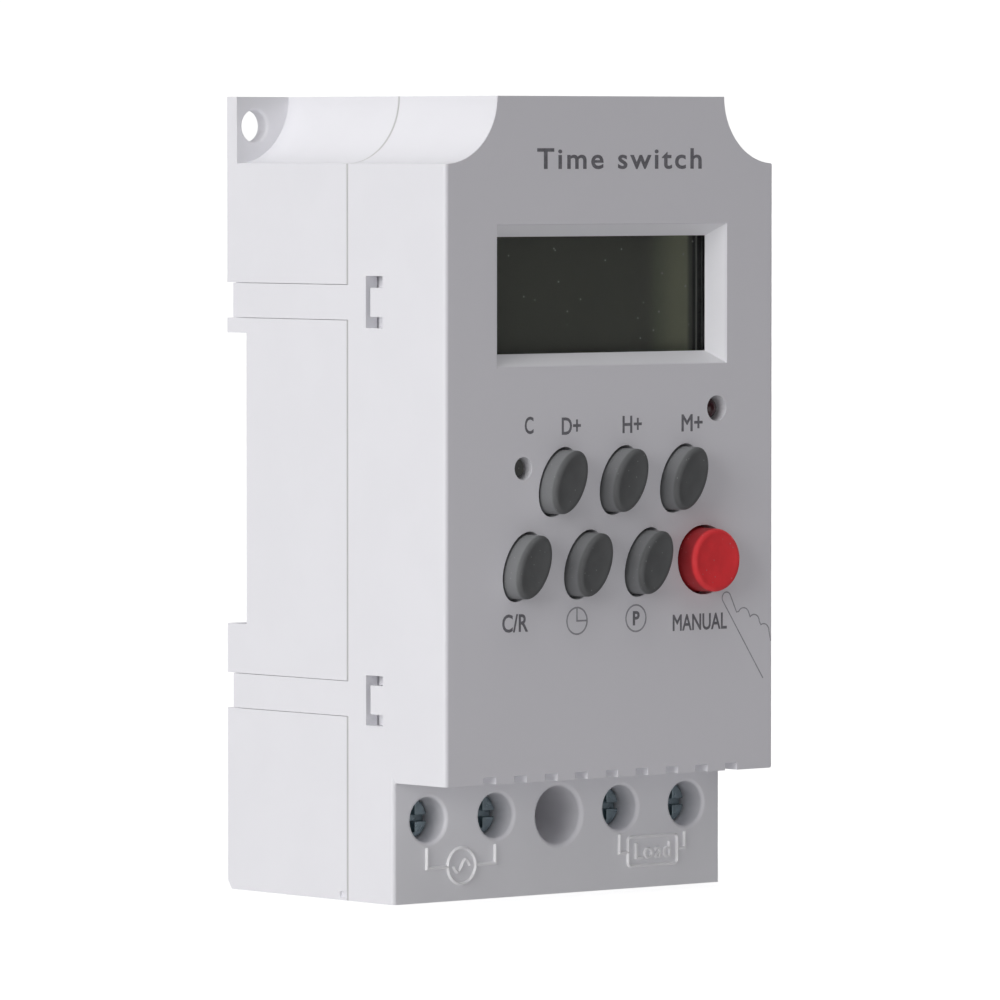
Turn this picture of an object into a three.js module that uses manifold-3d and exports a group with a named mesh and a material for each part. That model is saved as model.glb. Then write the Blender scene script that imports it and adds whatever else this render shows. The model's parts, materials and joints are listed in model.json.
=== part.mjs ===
// Digital time switch for a 35 mm DIN rail: a two-part housing with a display, seven keys,
// four rising-cage terminals, a spring-loaded rail clip and two circuit boards inside.
// Millimetres. X runs across the front, Z is up and the front faces -Y. Inside the assembly
// Y is 0 on the rear plane, and the last lines move it to the middle of the depth.
import * as THREE from 'three';
import { ConvexGeometry } from 'three/addons/geometries/ConvexGeometry.js';
import { mergeVertices } from 'three/addons/utils/BufferGeometryUtils.js';
import Module from 'manifold-3d';

const wasm = await Module();
wasm.setup();

// Housing
const WIDTH = 53;
const HEIGHT = 98;
const HALF = WIDTH / 2;
const FRONT = -42;
const TERMINAL_FACE = -32.1;
const SEAM = -23.45;
const OVERHANG_Z = 14.85;
const CORNER_RADIUS = 8.2;
const SIDE_WALL = 1.8;
const WALL = 2;
const FRONT_WALL = 2.2;
const INSIDE = HALF - SIDE_WALL;
const FRONT_INSIDE = FRONT + FRONT_WALL;
const GAP = 0.3;
const SEAM_GAP = 0.06;
const FAR = 80;

// Rear face: rail channel, lugs and snap straps
const RAIL_TOP = 68.91;
const RAIL_BOTTOM = 32.95;
const RAIL_SEAT = -3.76;
const RAIL_FLOOR = -4;
const THICK_REAR = -6;
const LUG_THICK = 1.95;
const LUG_HOLE = { x: 23.6, z: 94.4, radius: 1.97 };
const STRAP_THICK = 1.1;
const STRAP_END = -1.15;
const STRAPS = [{ low: 22.55, high: 26.8 }, { low: 70.82, high: 75.07 }];
const SNAP_WINDOWS = [{ low: 21.6, high: 27.7 }, { low: 69.87, high: 76.2 }];
const WINDOW_FRONT = -30.15;
const WINDOW_REAR = -26.95;
const SNAP_ARM = {
  inner: 23.2, beyondWindow: 0.6, tabRear: -27.7, tabInset: 0.1, tabBelow: 0.43, tabAbove: -0.3,
};
const FOOT_CHAMFER = { depth: 0.75, height: 1.1 };
const PRY_NICK = { inner: 26.1, front: -23.3, rear: -21.9, low: 0.3, high: 1.1 };
const LIPS = { inner: 10, outer: 18, rear: -0.9, low: RAIL_TOP - 1.5, high: RAIL_TOP + 0.5 };

// Terminals
const TERMINAL_X = [-20.9, -10.07, 10.07, 20.9];
const TERMINAL_Z = 10.1;
const ACCESS_RADIUS = 2.75;
const TUBE_RADIUS = 3.9;
const TUBE_END = -27.2;
const HEAD_FRONT = TERMINAL_FACE + 3.1;
const HEAD_RADIUS = 2.5;
const HEAD_THICK = 1.8;
const SHANK_RADIUS = 1.7;
const SHANK_END = -18.3;
const BAR_FRONT = -18;
const BAR_THICK = 1;
const CAGE = { front: -23.8, rear: -11.6, thread: 1.6, wall: 0.8, halfWidth: 3.4, halfHeight: 3.8 };
const WIRE_ENTRY = { halfWidth: 2.6, front: -17.2, rear: -12.2 };

// Centre fixing hole
const FIXING_Z = 9.65;
const FIXING_RADIUS = 3.58;
const FIXING_TUBE = 4.7;
const FIXING_SPLIT = -14.5;
const FIXING_BOSS = 3.3;
const SCREW_HOLE = 2.1;

// Rail clip
const CLIP = {
  halfWidth: 8.1, front: -2.4, rear: -0.8, bottom: 1, top: 34.5, travelRoom: 3.5, leadIn: 2.2,
};
const CLIP_EYE = { halfWidth: 3, low: 2.4, high: 4 };
const CLIP_CHANNEL = { halfWidth: 8.4, floor: -2.7 };
const CLIP_GUIDES = [{ low: 3, high: 6 }, { low: 24, high: 27 }];
const CLIP_GRIP = 0.7;
const CLIP_POST = { low: 20, high: 21.5, halfWidth: 1.6, room: 2, springRoom: 1.2 };
const CLIP_SPRING = { low: 21.8, high: 28, y: -2.2, coil: 1.1, wire: 0.2, turns: 6 };

// Display
const LCD = { x: 0.2, z: 73.85, outerHalf: [18.6, 8.65], innerHalf: [16.83, 7.1], bevel: 2.1 };
const LCD_WINDOW = { front: -39.6, rear: -38.6, half: [17.9, 8.2] };
const LCD_PANEL = { front: -37.9, rear: -35.9, half: [17.6, 8] };
const LCD_FRAME = {
  front: -37.7, rear: -33.6, half: [19.8, 9.6], inner: [17.9, 8.3], ledgeX: 17.6, ledge: 0.7,
};
const LCD_RIB = { rear: -38, half: [19.4, 9.7], inner: [18.2, 8.5] };
const ZEBRA = { drop: 6.9, half: [16.4, 0.9] };

// Keys
const KEY_PITCH = 9.78;
const UPPER_ROW = { x: -8.59, z: 51.2 };
const LOWER_ROW = { x: -14.32, z: 41.05 };
const KEY_LEAN = THREE.MathUtils.degToRad(25);
const KEY_HOLE = [2.8, 4.5];
const ROUND_HOLE = [4.3, 4.3];
const KEY_CLEARANCE = 0.32;
const KEY_EDGE = 0.45;
const KEY_FACE = -44.6;
const KEY_FLANGE = { front: -39.4, rear: -38.2, proud: 0.7 };
const KEY_STEM = { rear: -35, inset: 1.2 };
const KEYS = [
  { name: 'day_button', ...UPPER_ROW, column: 0, hole: KEY_HOLE },
  { name: 'hour_button', ...UPPER_ROW, column: 1, hole: KEY_HOLE },
  { name: 'minute_button', ...UPPER_ROW, column: 2, hole: KEY_HOLE },
  { name: 'cancel_recall_button', ...LOWER_ROW, column: 0, hole: KEY_HOLE },
  { name: 'clock_button', ...LOWER_ROW, column: 1, hole: KEY_HOLE },
  { name: 'program_button', ...LOWER_ROW, column: 2, hole: KEY_HOLE },
  { name: 'manual_button', ...LOWER_ROW, column: 3, hole: ROUND_HOLE },
].map((key) => ({ ...key, x: key.x + key.column * KEY_PITCH }));
const KEYPAD = { halfWidth: 18.8, front: -34.7, rear: -33.6, low: 34.4, high: 56.6 };
const RESET = { x: -14.2, z: 52.95, hole: 1.4, radius: 1.1, front: -41, rear: -34.6 };
const LED = { x: 17.1, z: 59.66, hole: 1.58, radius: 1.3, front: -41.3, rear: -33.6 };

// Circuit boards
const DISPLAY_BOARD = { front: -33.3, rear: -32.1, half: 22.4, low: 26, high: 86 };
const POWER_BOARD = { front: -8.7, rear: -7.1, half: 22, low: 18, high: 82 };
const DISPLAY_POSTS = [[-21, 30], [21, 30], [-21, 55.5], [21, 55.5]];
const POWER_POSTS = [[-18, 27], [18, 27], [-18, 77], [18, 77]];
const POST_RADIUS = { display: 2, power: 2.4 };
const BOARD_HOLE = 1.4;
const PILOT_HOLE = 0.85;
const SCREW = { head: 1.9, headThick: 1.2, shank: 1.0, length: 4.5, pilotShank: 0.6 };
const ON_POWER = POWER_BOARD.front - GAP;

// Vents in the overhang
const VENT = { count: 9, pitch: 4.885, width: 2, notch: 0.9, slot: 1.3, depth: 7.5 };

// ---------------------------------------------------------------- solids from geometries

function solid(geometry) {
  geometry.deleteAttribute('normal');
  geometry.deleteAttribute('uv');
  const merged = mergeVertices(geometry, 1e-4);
  const index = merged.index.array;
  const triVerts = [];
  for (let i = 0; i < index.length; i += 3) {
    const [a, b, c] = [index[i], index[i + 1], index[i + 2]];
    if (a !== b && b !== c && c !== a) triVerts.push(a, b, c);
  }
  return new wasm.Manifold(new wasm.Mesh({
    numProp: 3,
    vertProperties: new Float32Array(merged.attributes.position.array),
    triVerts: new Uint32Array(triVerts),
  }));
}

function block(x0, x1, y0, y1, z0, z1) {
  const geometry = new THREE.BoxGeometry(x1 - x0, y1 - y0, z1 - z0);
  geometry.translate((x0 + x1) / 2, (y0 + y1) / 2, (z0 + z1) / 2);
  return solid(geometry);
}

// A block centred on x and z, by half sizes.
function slab(x, z, [halfX, halfZ], y0, y1) {
  return block(x - halfX, x + halfX, y0, y1, z - halfZ, z + halfZ);
}

function rod(radius, from, to, sides = 24) {
  const start = new THREE.Vector3(...from);
  const run = new THREE.Vector3(...to).sub(start);
  const length = run.length();
  const geometry = new THREE.CylinderGeometry(radius, radius, length, sides);
  geometry.translate(0, length / 2, 0);
  const up = new THREE.Vector3(0, 1, 0);
  geometry.applyQuaternion(new THREE.Quaternion().setFromUnitVectors(up, run.normalize()));
  geometry.translate(start.x, start.y, start.z);
  return solid(geometry);
}

// A rod along Y, from y0 back to y1.
function pin(radius, x, z, y0, y1, sides = 24) {
  return rod(radius, [x, y0, z], [x, y1, z], sides);
}

// A solid of revolution about Y; the profile is [radius, y] pairs in order of rising y.
function turned(profile, x = 0, z = 0, sides = 32) {
  const points = profile.map(([radius, y]) => new THREE.Vector2(radius, y));
  const geometry = new THREE.LatheGeometry(points, sides);
  geometry.translate(x, 0, z);
  return solid(geometry);
}

// A flat shape in X and Z, given thickness from y0 back to y1.
function prism(shape, y0, y1, options = {}) {
  const settings = { depth: y1 - y0, bevelEnabled: false, curveSegments: 12, ...options };
  const geometry = new THREE.ExtrudeGeometry(shape, settings);
  geometry.rotateX(Math.PI / 2);
  geometry.translate(0, y1, 0);
  return solid(geometry);
}

function oval([halfWidth, halfHeight], x = 0, z = 0, lean = KEY_LEAN) {
  const shape = new THREE.Shape();
  shape.absellipse(x, z, halfWidth, halfHeight, 0, 2 * Math.PI, false, -lean);
  return shape;
}

function union(parts) {
  return parts.reduce((whole, part) => whole.add(part));
}

function carve(whole, cutters) {
  return whole.subtract(union(cutters));
}

// Both sides of the housing, from one made for +X.
function bothSides(make) {
  return [make(1), make(-1)].flat();
}

function sideBlock(side, inner, outer, y0, y1, z0, z1) {
  return block(Math.min(side * inner, side * outer), Math.max(side * inner, side * outer), y0, y1, z0, z1);
}

// ---------------------------------------------------------------- housing

// Front outline, shrunk by the given wall: a rectangle with a concave round in each top corner.
function outline(side, bottom, top, round) {
  const shape = new THREE.Shape();
  const inset = HALF - side;
  const slip = Math.asin(inset / round);
  shape.moveTo(-side, bottom);
  shape.lineTo(side, bottom);
  shape.absarc(HALF, HEIGHT, round, 1.5 * Math.PI - slip, Math.PI + Math.asin((HEIGHT - top) / round), true);
  shape.absarc(-HALF, HEIGHT, round, -Math.asin((HEIGHT - top) / round), -0.5 * Math.PI + slip, true);
  shape.closePath();
  return shape;
}

const outerOutline = () => outline(HALF, 0, HEIGHT, CORNER_RADIUS);
const innerOutline = () => outline(INSIDE, WALL, HEIGHT - SIDE_WALL, CORNER_RADIUS + SIDE_WALL);

// Widens the mouth of a round hole with a quarter-round rim.
function rimCutter(radius, fillet, x, z, face) {
  const steps = 3;
  const profile = [[0, face - 1], [radius + fillet, face - 1]];
  for (let i = 0; i <= steps; i += 1) {
    const angle = (i / steps) * 0.5 * Math.PI;
    profile.push([radius + fillet * (1 - Math.sin(angle)), face + fillet * (1 - Math.cos(angle))]);
  }
  profile.push([0, face + fillet]);
  return turned(profile, x, z, 28);
}

function lcdOpening() {
  const [outX, outZ] = LCD.outerHalf;
  const [inX, inZ] = LCD.innerHalf;
  const lead = 0.5;
  const slope = lead / LCD.bevel;
  const points = [];
  for (const [y, halfX, halfZ] of [
    [FRONT - lead, outX + (outX - inX) * slope, outZ + (outZ - inZ) * slope],
    [FRONT + LCD.bevel, inX, inZ],
  ]) {
    for (const sx of [-1, 1]) {
      for (const sz of [-1, 1]) points.push(new THREE.Vector3(LCD.x + sx * halfX, y, LCD.z + sz * halfZ));
    }
  }
  const bevel = solid(new ConvexGeometry(points));
  return bevel.add(slab(LCD.x, LCD.z, LCD.innerHalf, FRONT + LCD.bevel - 0.1, FRONT_INSIDE + 1));
}

function lcdRib() {
  const outer = slab(LCD.x, LCD.z, LCD_RIB.half, FRONT_INSIDE - 0.5, LCD_RIB.rear);
  return outer.subtract(slab(LCD.x, LCD.z, LCD_RIB.inner, FRONT_INSIDE - 1, LCD_RIB.rear + 1));
}

function vents() {
  const cutters = [];
  for (let i = 0; i < VENT.count; i += 1) {
    const x = (i - (VENT.count - 1) / 2) * VENT.pitch;
    const half = VENT.width / 2;
    const slotHalf = VENT.slot / 2;
    cutters.push(block(
      x - half, x + half, FRONT - 1, FRONT + VENT.depth, OVERHANG_Z - 1, OVERHANG_Z + VENT.notch));
    cutters.push(block(x - slotHalf, x + slotHalf, FRONT_INSIDE + GAP, FRONT + VENT.depth - GAP,
      OVERHANG_Z, OVERHANG_Z + WALL + 1));
  }
  return cutters;
}

function frontShell() {
  const underOverhang = block(-FAR, FAR, FRONT - 1, TERMINAL_FACE, -1, OVERHANG_Z);
  const outer = prism(outerOutline(), FRONT, SEAM).subtract(underOverhang);
  const terminalWall = block(-FAR, FAR, FRONT, TERMINAL_FACE + WALL, -1, OVERHANG_Z + WALL);
  const cavity = prism(innerOutline(), FRONT_INSIDE, SEAM + 1).subtract(terminalWall);
  return outer.subtract(cavity);
}

function frontHousing() {
  const added = [lcdRib()];
  const cut = [lcdOpening(), ...vents()];
  for (const x of TERMINAL_X) {
    added.push(pin(TUBE_RADIUS, x, TERMINAL_Z, TERMINAL_FACE + 0.5, TUBE_END, 16).intersect(
      block(-INSIDE - 1, INSIDE + 1, -FAR, 0, 0.5, HEIGHT)));
    cut.push(pin(ACCESS_RADIUS, x, TERMINAL_Z, TERMINAL_FACE - 1, TUBE_END + 1, 28));
    cut.push(rimCutter(ACCESS_RADIUS, 0.5, x, TERMINAL_Z, TERMINAL_FACE));
  }
  added.push(pin(FIXING_TUBE, 0, FIXING_Z, TERMINAL_FACE + 0.5, FIXING_SPLIT, 20));
  cut.push(pin(FIXING_RADIUS, 0, FIXING_Z, TERMINAL_FACE - 1, FIXING_SPLIT + 1, 28));
  cut.push(rimCutter(FIXING_RADIUS, 0.6, 0, FIXING_Z, TERMINAL_FACE));
  for (const [x, z] of DISPLAY_POSTS) {
    added.push(pin(POST_RADIUS.display, x, z, FRONT_INSIDE - 0.5, DISPLAY_BOARD.front - GAP, 12));
    cut.push(pin(PILOT_HOLE, x, z, FRONT_INSIDE + 2, DISPLAY_BOARD.front, 8));
  }
  for (const key of KEYS) {
    cut.push(prism(oval(key.hole, key.x, key.z), FRONT - 1, FRONT_INSIDE + 1, { curveSegments: 18 }));
  }
  cut.push(pin(RESET.hole, RESET.x, RESET.z, FRONT - 1, FRONT_INSIDE + 1));
  cut.push(pin(LED.hole, LED.x, LED.z, FRONT - 1, FRONT_INSIDE + 1));
  for (const { low, high } of STRAPS) {
    added.push(...bothSides((side) =>
      sideBlock(side, HALF - STRAP_THICK, HALF, SEAM - 1.5, STRAP_END, low, high)));
  }
  for (const { low, high } of SNAP_WINDOWS) {
    cut.push(...bothSides((side) =>
      sideBlock(side, INSIDE - 1, HALF + 1, WINDOW_FRONT, WINDOW_REAR, low, high)));
  }
  return carve(union([frontShell(), ...added]), cut);
}

// Cuts the rear bottom edge off at a slant.
function footChamfer() {
  const { depth, height } = FOOT_CHAMFER;
  const points = [-FAR, FAR].flatMap((x) => [
    new THREE.Vector3(x, -depth, 0),
    new THREE.Vector3(x, 0, height),
    new THREE.Vector3(x, height, 0),
    new THREE.Vector3(x, 0, -depth),
  ]);
  return solid(new ConvexGeometry(points));
}

function rearShell() {
  const start = SEAM + SEAM_GAP;
  const lugs = bothSides((side) => sideBlock(side, HALF - CORNER_RADIUS - 1, HALF, -LUG_THICK, 0,
    HEIGHT - CORNER_RADIUS - 1, HEIGHT));
  const outer = union([prism(outerOutline(), start, 0), ...lugs]);
  const railBack = block(-FAR, FAR, THICK_REAR, 0, RAIL_BOTTOM - WALL, RAIL_TOP + WALL);
  const backHalf = CLIP_CHANNEL.halfWidth + WALL;
  const clipBack = block(-backHalf, backHalf, THICK_REAR, 0, -1, RAIL_BOTTOM);
  const cavity = carve(prism(innerOutline(), start - 1, -WALL), [railBack, clipBack]);
  return carve(outer, [cavity, footChamfer()]);
}

// The four springy arms that reach into the front housing, each with a tab in a snap window.
function snapHooks() {
  const { inner, beyondWindow, tabRear, tabInset, tabBelow, tabAbove } = SNAP_ARM;
  const hooks = [];
  STRAPS.forEach(({ low, high }, i) => {
    const bottom = SNAP_WINDOWS[i].low - beyondWindow;
    const top = SNAP_WINDOWS[i].high + beyondWindow;
    hooks.push(...bothSides((side) => [
      sideBlock(side, inner, INSIDE + 0.5, SEAM + SEAM_GAP, -WALL, bottom, top),
      sideBlock(side, inner, INSIDE - GAP, WINDOW_FRONT - 1, SEAM + 1, bottom, top),
      sideBlock(side, INSIDE - 1, HALF - tabInset, WINDOW_FRONT + 0.1, tabRear,
        low + tabBelow, high + tabAbove),
    ]));
  });
  return hooks;
}

function clipGuides() {
  const middle = (CLIP_POST.low + CLIP_POST.high) / 2;
  const half = [CLIP_POST.halfWidth, CLIP_POST.high - middle];
  const post = slab(0, middle, half, CLIP_CHANNEL.floor - 1, CLIP.rear);
  const rails = CLIP_GUIDES.map(({ low, high }) => bothSides((side) => sideBlock(side,
    CLIP.halfWidth - CLIP_GRIP, CLIP_CHANNEL.halfWidth + 0.5, CLIP.rear + GAP, 0, low, high)));
  return [post, ...rails.flat()];
}

function railLips() {
  const { inner, outer, rear, low, high } = LIPS;
  return bothSides((side) => sideBlock(side, inner, outer, CLIP.front, rear, low, high));
}

function rearHousing() {
  const start = SEAM + SEAM_GAP;
  const cut = [
    block(-FAR, FAR, RAIL_SEAT, 1, RAIL_BOTTOM, RAIL_TOP),
    block(-INSIDE, INSIDE, RAIL_FLOOR, 1, RAIL_BOTTOM, RAIL_TOP),
    block(-CLIP_CHANNEL.halfWidth, CLIP_CHANNEL.halfWidth, CLIP_CHANNEL.floor, 1, -1, RAIL_BOTTOM + 1),
    block(-CLIP_POST.room, CLIP_POST.room, CLIP_CHANNEL.floor - CLIP_POST.springRoom, 0,
      CLIP_POST.high, CLIP_SPRING.high + 1),
    ...bothSides((side) => sideBlock(side, PRY_NICK.inner, HALF + 1, PRY_NICK.front, PRY_NICK.rear,
      PRY_NICK.low, PRY_NICK.high)),
  ];
  for (const side of [-1, 1]) {
    cut.push(pin(LUG_HOLE.radius, side * LUG_HOLE.x, LUG_HOLE.z, -LUG_THICK - 1, 1));
    cut.push(rimCutter(LUG_HOLE.radius, 0.4, side * LUG_HOLE.x, LUG_HOLE.z, -LUG_THICK));
  }
  for (const x of TERMINAL_X) {
    cut.push(block(x - WIRE_ENTRY.halfWidth, x + WIRE_ENTRY.halfWidth, WIRE_ENTRY.front, WIRE_ENTRY.rear,
      -1, WALL + 1));
  }
  for (const { low, high } of STRAPS) {
    cut.push(...bothSides((side) => sideBlock(side, HALF - STRAP_THICK - GAP, HALF + 1, start - 1, 1,
      low - SEAM_GAP, high + SEAM_GAP)));
  }
  const body = carve(union([rearShell(), ...snapHooks()]), cut);

  const posts = POWER_POSTS.map(([x, z]) => pin(POST_RADIUS.power, x, z, POWER_BOARD.rear + GAP,
    -WALL + 0.5, 12));
  const pilots = POWER_POSTS.map(([x, z]) => pin(PILOT_HOLE, x, z, POWER_BOARD.rear, -WALL, 8));
  const tube = pin(FIXING_TUBE, 0, FIXING_Z, FIXING_SPLIT + GAP, THICK_REAR + 0.5, 20);
  const clipBoss = pin(FIXING_BOSS, 0, FIXING_Z, CLIP_CHANNEL.floor - 0.5, -GAP, 24);
  const bores = [
    pin(FIXING_RADIUS, 0, FIXING_Z, FIXING_SPLIT, THICK_REAR, 20),
    pin(SCREW_HOLE, 0, FIXING_Z, THICK_REAR - 1, 1),
  ];
  const whole = union([body, ...clipGuides(), ...railLips(), ...posts, tube, clipBoss]);
  return carve(whole, [...bores, ...pilots]);
}

// ---------------------------------------------------------------- rail clip

function dinClip() {
  const { halfWidth, front, rear, bottom, top, travelRoom, leadIn } = CLIP;
  const plate = block(-halfWidth, halfWidth, front, rear, bottom, top);
  const slant = solid(new ConvexGeometry([-1, 1].flatMap((side) => [
    new THREE.Vector3(side * (halfWidth + 1), rear + 1, top + 1),
    new THREE.Vector3(side * (halfWidth + 1), rear + 1, top - leadIn),
    new THREE.Vector3(side * (halfWidth + 1), front + 0.2, top + 1),
  ])));
  const bossRoom = FIXING_BOSS + 0.4;
  return carve(plate, [
    slant,
    block(-bossRoom, bossRoom, -FAR, FAR, FIXING_Z - bossRoom, FIXING_Z + bossRoom + travelRoom),
    block(-CLIP_POST.room, CLIP_POST.room, -FAR, FAR, CLIP_POST.low - 0.4, CLIP_SPRING.high + GAP),
    block(-CLIP_EYE.halfWidth, CLIP_EYE.halfWidth, -FAR, FAR, CLIP_EYE.low, CLIP_EYE.high),
  ]);
}

class Coil extends THREE.Curve {
  getPoint(t) {
    const angle = t * CLIP_SPRING.turns * 2 * Math.PI;
    const low = CLIP_SPRING.low + CLIP_SPRING.wire;
    const high = CLIP_SPRING.high - CLIP_SPRING.wire;
    return new THREE.Vector3(
      CLIP_SPRING.coil * Math.cos(angle),
      CLIP_SPRING.y + CLIP_SPRING.coil * Math.sin(angle),
      low + (high - low) * t,
    );
  }
}

function clipSpring() {
  const wire = new THREE.Shape();
  wire.absarc(0, 0, CLIP_SPRING.wire, 0, 2 * Math.PI, false);
  return solid(new THREE.ExtrudeGeometry(wire, {
    steps: CLIP_SPRING.turns * 9,
    curveSegments: 3,
    extrudePath: new Coil(),
  }));
}

// ---------------------------------------------------------------- display

function lcdFrame() {
  const ring = slab(LCD.x, LCD.z, LCD_FRAME.half, LCD_FRAME.front, LCD_FRAME.rear)
    .subtract(slab(LCD.x, LCD.z, LCD_FRAME.inner, LCD_FRAME.front - 1, LCD_FRAME.rear + 1));
  const ledges = [-1, 1].map((side) => slab(LCD.x + side * LCD_FRAME.ledgeX, LCD.z,
    [LCD_FRAME.ledge, LCD_FRAME.inner[1] + 0.5], LCD_PANEL.rear + GAP, LCD_FRAME.rear));
  return union([ring, ...ledges]);
}

function zebraStrip() {
  return slab(LCD.x, LCD.z - ZEBRA.drop, ZEBRA.half, LCD_PANEL.rear + GAP, DISPLAY_BOARD.front - GAP);
}

// ---------------------------------------------------------------- keys and lamp

const shrink = (half, by) => half.map((value) => value - by);

// One key: a leaning oval or round cap, a flange that stops behind the panel, and a stem.
function keyCap(hole) {
  const body = shrink(hole, KEY_CLEARANCE);
  const rounded = { bevelEnabled: true, bevelSize: KEY_EDGE, bevelThickness: KEY_EDGE, bevelSegments: 3,
    bevelOffset: -KEY_EDGE, curveSegments: 14 };
  const cap = prism(oval(body), KEY_FACE, KEY_FLANGE.rear - KEY_EDGE * 2, rounded);
  const coarse = { curveSegments: 8 };
  const flange = prism(oval(shrink(body, -KEY_FLANGE.proud)), KEY_FLANGE.front, KEY_FLANGE.rear, coarse);
  const stem = prism(oval(shrink(body, KEY_STEM.inset)), KEY_FLANGE.rear - 1, KEY_STEM.rear, coarse);
  return union([cap.translate([0, KEY_EDGE, 0]), flange, stem]);
}

function keypadMat() {
  const { halfWidth, front, rear, low, high } = KEYPAD;
  const mat = block(-halfWidth, halfWidth, front, rear, low, high);
  const openings = KEYS.map((key) => {
    const stem = shrink(key.hole, KEY_CLEARANCE + KEY_STEM.inset - GAP);
    return prism(oval(stem, key.x, key.z), front - 1, rear + 1, { curveSegments: 8 });
  });
  return carve(mat, [...openings, pin(RESET.radius + GAP, RESET.x, RESET.z, front - 1, rear + 1, 12)]);
}

function resetButton() {
  const { front, rear, radius } = RESET;
  const edge = 0.2;
  const collar = { radius: 1.7, front: -39.2, rear: -38.3 };
  return turned([[0, front], [radius - edge, front], [radius, front + edge], [radius, collar.front],
    [collar.radius, collar.front], [collar.radius, collar.rear], [radius, collar.rear], [radius, rear],
    [0, rear]], 0, 0, 16);
}

function ledLamp() {
  const { front, rear, radius } = LED;
  const profile = [[0, front]];
  const steps = 4;
  for (let i = 1; i <= steps; i += 1) {
    const angle = (i / steps) * 0.5 * Math.PI;
    profile.push([radius * Math.sin(angle), front + radius * (1 - Math.cos(angle))]);
  }
  const collar = { radius: 1.6, front: -36.6, rear: -35.8 };
  profile.push([radius, collar.front], [collar.radius, collar.front], [collar.radius, collar.rear],
    [radius, collar.rear], [radius, rear], [0, rear]);
  return turned(profile, 0, 0, 16);
}

// ---------------------------------------------------------------- terminals

function terminalScrew() {
  const edge = 0.3;
  const rear = HEAD_FRONT + HEAD_THICK;
  const body = turned([[0, HEAD_FRONT], [HEAD_RADIUS - edge, HEAD_FRONT], [HEAD_RADIUS, HEAD_FRONT + edge],
    [HEAD_RADIUS, rear], [SHANK_RADIUS, rear],
    [SHANK_RADIUS, SHANK_END - 0.6], [SHANK_RADIUS - 0.6, SHANK_END],
    [0, SHANK_END]], 0, 0, 20);
  const slot = slab(0, 0, [3, 0.4], HEAD_FRONT - 1, HEAD_FRONT + 1);
  const cross = slab(0, 0, [0.4, 1.7], HEAD_FRONT - 1, HEAD_FRONT + 1.2);
  return carve(body, [slot, cross]);
}

function terminalCage() {
  const { front, rear, thread, wall, halfWidth, halfHeight } = CAGE;
  const outer = slab(0, 0, [halfWidth, halfHeight], front, rear);
  return carve(outer, [
    slab(0, 0, [halfWidth - wall, halfHeight + 1], front + thread, rear - wall),
    pin(SHANK_RADIUS + 0.15, 0, 0, front - 1, front + thread + 1, 16),
  ]);
}

// The fixed bar that the wire is clamped against, bent back to the power board.
function terminalBar() {
  const half = 2.1;
  const bend = 10.9;
  const upright = block(-half, half, BAR_FRONT, BAR_FRONT + BAR_THICK, -5.1, bend);
  const foot = block(-half, half, BAR_FRONT, ON_POWER, bend - BAR_THICK, bend);
  return upright.add(foot);
}

// ---------------------------------------------------------------- boards and what they carry

function board({ front, rear, half, low, high }, holes) {
  const sheet = block(-half, half, front, rear, low, high);
  return carve(sheet, holes.map(([x, z]) => pin(BOARD_HOLE, x, z, front - 1, rear + 1, 10)));
}

// A pan-head screw whose thread runs towards -Y (direction -1) or +Y (direction 1).
function boardScrew(headFace, direction) {
  const { head, headThick, shank, length, pilotShank } = SCREW;
  const along = (distance) => headFace + direction * distance;
  const parts = [
    pin(head, 0, 0, along(0), along(headThick), 12),
    pin(shank, 0, 0, along(headThick - 0.2), along(headThick + 1.4), 8),
    pin(pilotShank, 0, 0, along(headThick + 1.2), along(length), 8),
  ];
  const slot = slab(0, 0, [1.5, 0.3], Math.min(along(-1), along(0.6)), Math.max(along(-1), along(0.6)));
  return union(parts).subtract(slot);
}

function controllerChip() {
  const face = DISPLAY_BOARD.rear + GAP;
  const centre = { x: -4, z: 50 };
  const half = 5;
  const parts = [slab(centre.x, centre.z, [half, half], face, face + 1.5)];
  for (let i = -3; i <= 3; i += 1) {
    const step = i * 1.2;
    parts.push(slab(centre.x + step, centre.z, [0.25, half + 0.9], face, face + 0.6));
    parts.push(slab(centre.x, centre.z + step, [half + 0.9, 0.25], face, face + 0.6));
  }
  return union(parts);
}

function crystalCan() {
  const shape = new THREE.Shape();
  const [x, z, run, radius] = [10, 50, 3.2, 1.8];
  shape.absarc(x + run, z, radius, -0.5 * Math.PI, 0.5 * Math.PI, false);
  shape.absarc(x - run, z, radius, 0.5 * Math.PI, 1.5 * Math.PI, false);
  shape.closePath();
  const face = DISPLAY_BOARD.rear + GAP;
  return prism(shape, face, face + 3.4, { curveSegments: 8 });
}

// A row of pins through a plastic strip, from board to board.
function boardHeader() {
  const z = 80;
  const count = 8;
  const pitch = 2.54;
  const length = count * pitch;
  const parts = [slab(0, z, [length / 2, 1.25], -26, -15)];
  for (let i = 0; i < count; i += 1) {
    const x = (i - (count - 1) / 2) * pitch;
    parts.push(slab(x, z, [0.32, 0.32], DISPLAY_BOARD.rear + GAP, ON_POWER));
  }
  return union(parts);
}

function backupBattery() {
  const [y, z, radius, cells, cellLength] = [ON_POWER - 6.2, 66, 5.8, 3, 5];
  const start = -cells * cellLength / 2;
  const parts = [rod(radius - 0.4, [start, y, z], [-start, y, z], 16)];
  for (let i = 0; i < cells; i += 1) {
    const x = start + i * cellLength;
    parts.push(rod(radius, [x + 0.3, y, z], [x + cellLength - 0.3, y, z], 16));
  }
  for (const x of [start + 1, -start - 1]) parts.push(pin(0.4, x, z, y, ON_POWER, 8));
  return union(parts);
}

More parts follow.
